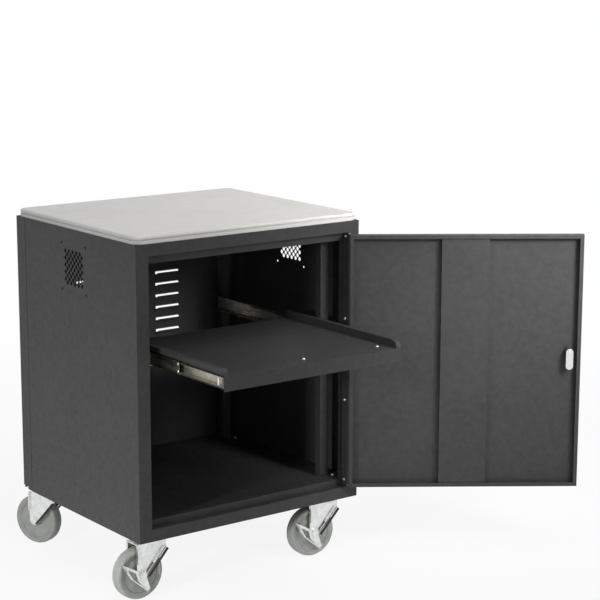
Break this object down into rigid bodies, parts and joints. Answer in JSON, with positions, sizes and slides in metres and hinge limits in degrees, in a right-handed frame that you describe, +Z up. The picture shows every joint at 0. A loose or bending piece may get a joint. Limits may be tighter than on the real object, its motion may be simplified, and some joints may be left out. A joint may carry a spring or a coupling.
{
  "type": "audio visual cart",
  "caption": "Steel audio visual cart on swivel casters with a hinged locking door, a pull-out equipment tray on ball bearing slides and a light worktop.",
  "frame": {"origin": "middle of the worktop upper face", "axes": "+X to the right seen from the front, where the door is hinged; +Y to the back; +Z up"},
  "size_m": [1.1242, 0.9837, 0.881],
  "materials": {
    "cabinet_paint": "fine textured black grey powder coat",
    "worktop": "light warm grey laminate",
    "zinc": "bright zinc plate",
    "slide_steel": "bright zinc plate",
    "fastener_steel": "bright zinc plate",
    "lock_chrome": "polished",
    "wheel_core": "grey moulded core",
    "tread": "grey non-marking rubber"
  },
  "bodies": {
    "cabinet": {"worktop": "worktop", "side_panel_left": "cabinet_paint", "side_panel_right": "cabinet_paint", "back_panel": "cabinet_paint", "floor_pan": "cabinet_paint", "ceiling_pan": "cabinet_paint", "stile_left": "cabinet_paint", "stile_right": "cabinet_paint", "top_rail": "cabinet_paint", "bottom_rail": "cabinet_paint", "base_channel_front": "cabinet_paint", "base_channel_rear": "cabinet_paint", "upright_front_left": "cabinet_paint", "upright_front_right": "cabinet_paint", "upright_rear_left": "cabinet_paint", "upright_rear_right": "cabinet_paint", "slide_outer_left": "slide_steel", "slide_outer_right": "slide_steel", "cabinet_screws": "fastener_steel", "hinge_leaf_frame": "cabinet_paint", "hinge_pin": "fastener_steel", "caster_bolts": "zinc", "caster_plate_front_left": "zinc", "caster_plate_front_right": "zinc", "caster_plate_rear_left": "zinc", "caster_plate_rear_right": "zinc"},
    "door": {"door_panel": "cabinet_paint", "door_stiffener": "cabinet_paint", "hinge_leaf_door": "cabinet_paint", "lock_housing": "lock_chrome"},
    "lock": {"lock_plug": "lock_chrome", "lock_cam": "lock_chrome", "cam_screw": "fastener_steel"},
    "tray": {"tray_deck": "cabinet_paint", "tray_side_left": "cabinet_paint", "tray_side_right": "cabinet_paint", "tray_rivets": "fastener_steel", "slide_inner_left": "slide_steel", "slide_inner_right": "slide_steel"},
    "slide_middles": {"slide_middle_left": "slide_steel", "slide_middle_right": "slide_steel", "ball_cages": "slide_steel"},
    "swivel_front_left": {"fork_front_left": "zinc", "axle_front_left": "zinc"},
    "wheel_front_left": {"wheel_front_left": "wheel_core", "tread_front_left": "tread"},
    "swivel_front_right": {"fork_front_right": "zinc", "axle_front_right": "zinc"},
    "wheel_front_right": {"wheel_front_right": "wheel_core", "tread_front_right": "tread"},
    "swivel_rear_left": {"fork_rear_left": "zinc", "axle_rear_left": "zinc"},
    "wheel_rear_left": {"wheel_rear_left": "wheel_core", "tread_rear_left": "tread"},
    "swivel_rear_right": {"fork_rear_right": "zinc", "axle_rear_right": "zinc"},
    "wheel_rear_right": {"wheel_rear_right": "wheel_core", "tread_rear_right": "tread"},
    "brake_front_left": {"brake_lever_front_left": "zinc"},
    "brake_front_right": {"brake_lever_front_right": "zinc"}
  },
  "joints": [
    {"name": "door_hinge", "type": "hinge", "parent": "cabinet", "child": "door", "pos_m": [0.29175, -0.285, -0.374], "axis": [0, 0, 1], "range_deg": [-54.5, 35.5]},
    {"name": "lock_turn", "type": "hinge", "parent": "door", "child": "lock", "pos_m": [0.73217, -0.61511, -0.346], "axis": [-0.5807, -0.8141, 0], "range_deg": [0, 90]},
    {"name": "tray_slide", "type": "slide", "parent": "cabinet", "child": "tray", "axis": [0, -1, 0], "range_m": [-0.31, 0.14]},
    {"name": "middle_slide", "type": "slide", "parent": "cabinet", "child": "slide_middles", "axis": [0, -1, 0], "range_m": [-0.155, 0.07]},
    {"name": "swivel_front_left", "type": "hinge", "parent": "cabinet", "child": "swivel_front_left", "pos_m": [-0.259, -0.226, -0.7416], "axis": [0, 0, 1], "continuous": true},
    {"name": "roll_front_left", "type": "hinge", "parent": "swivel_front_left", "child": "wheel_front_left", "pos_m": [-0.29899, -0.2267, -0.8175], "axis": [0.0175, -0.9998, 0], "continuous": true},
    {"name": "swivel_front_right", "type": "hinge", "parent": "cabinet", "child": "swivel_front_right", "pos_m": [0.259, -0.226, -0.7416], "axis": [0, 0, 1], "continuous": true},
    {"name": "roll_front_right", "type": "hinge", "parent": "swivel_front_right", "child": "wheel_front_right", "pos_m": [0.2191, -0.22321, -0.8175], "axis": [-0.0698, -0.9976, 0], "continuous": true},
    {"name": "swivel_rear_left", "type": "hinge", "parent": "cabinet", "child": "swivel_rear_left", "pos_m": [-0.27, 0.24, -0.7416], "axis": [0, 0, 1], "continuous": true},
    {"name": "roll_rear_left", "type": "hinge", "parent": "swivel_rear_left", "child": "wheel_rear_left", "pos_m": [-0.28627, 0.27654, -0.8175], "axis": [-0.9135, -0.4067, 0], "continuous": true},
    {"name": "swivel_rear_right", "type": "hinge", "parent": "cabinet", "child": "swivel_rear_right", "pos_m": [0.27, 0.24, -0.7416], "axis": [0, 0, 1], "continuous": true},
    {"name": "roll_rear_right", "type": "hinge", "parent": "swivel_rear_right", "child": "wheel_rear_right", "pos_m": [0.26512, 0.2797, -0.8175], "axis": [-0.9925, -0.1219, 0], "continuous": true},
    {"name": "brake_front_left", "type": "hinge", "parent": "swivel_front_left", "child": "brake_front_left", "pos_m": [-0.29899, -0.2267, -0.8175], "axis": [0.0175, -0.9998, 0], "range_deg": [0, 18]},
    {"name": "brake_front_right", "type": "hinge", "parent": "swivel_front_right", "child": "brake_front_right", "pos_m": [0.2191, -0.22321, -0.8175], "axis": [-0.0698, -0.9976, 0], "range_deg": [0, 18]}
  ],
  "couplings": [
    {"joint": "middle_slide", "follows": "tray_slide", "ratio": 0.5}
  ]
}
